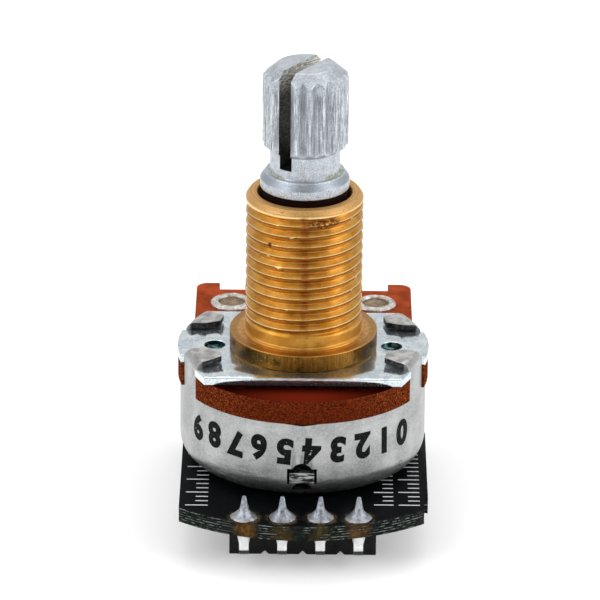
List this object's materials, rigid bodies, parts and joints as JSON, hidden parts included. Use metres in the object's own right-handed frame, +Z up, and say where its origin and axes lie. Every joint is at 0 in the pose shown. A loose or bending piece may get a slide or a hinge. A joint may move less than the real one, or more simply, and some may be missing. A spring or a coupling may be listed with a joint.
{
  "type": "rotary potentiometer",
  "caption": "Panel-mount rotary potentiometer with a splined split shaft, threaded bush and a small circuit board with a right-angle pin header.",
  "frame": {"origin": "on the shaft axis, in the top face of the bush flange, which seats under the panel", "axes": "+Z up the shaft, away from the can; -Y towards the header side of the circuit board"},
  "size_m": [0.0172, 0.0244, 0.0319],
  "materials": {
    "shaft_metal": "satin",
    "brass": "turned",
    "spring_steel": "satin",
    "zinc_plate": "bright zinc",
    "phenolic": "laminate",
    "carbon": "matt",
    "silver_film": "matt",
    "rotor_moulding": "matt",
    "bronze": "bright",
    "can_steel": "satin",
    "tinned_metal": "tinned",
    "board": "solder mask",
    "header_plastic": "moulded",
    "pin_metal": "tinned",
    "solder": "satin"
  },
  "bodies": {
    "housing": {"bushing": "brass", "mounting_plate": "zinc_plate", "wafer": "phenolic", "carbon_track": "carbon", "collector_ring": "silver_film", "rear_cover": "can_steel", "eyelet_left": "tinned_metal", "eyelet_middle": "tinned_metal", "eyelet_right": "tinned_metal", "terminal_left": "tinned_metal", "terminal_middle": "tinned_metal", "terminal_right": "tinned_metal", "circuit_board": "board", "header_block": "header_plastic", "header_pin_1": "pin_metal", "header_pin_2": "pin_metal", "header_pin_3": "pin_metal", "header_pin_4": "pin_metal", "pin_solder_1": "solder", "pin_solder_2": "solder", "pin_solder_3": "solder", "pin_solder_4": "solder", "terminal_solder_left": "solder", "terminal_solder_middle": "solder", "terminal_solder_right": "solder"},
    "spindle": {"shaft": "shaft_metal", "retaining_ring": "spring_steel", "rotor": "rotor_moulding", "wiper": "bronze"}
  },
  "joints": [
    {"name": "shaft_turn", "type": "hinge", "parent": "housing", "child": "spindle", "pos_m": [0, 0, 0], "axis": [0, 0, 1], "range_deg": [-150, 150]}
  ]
}
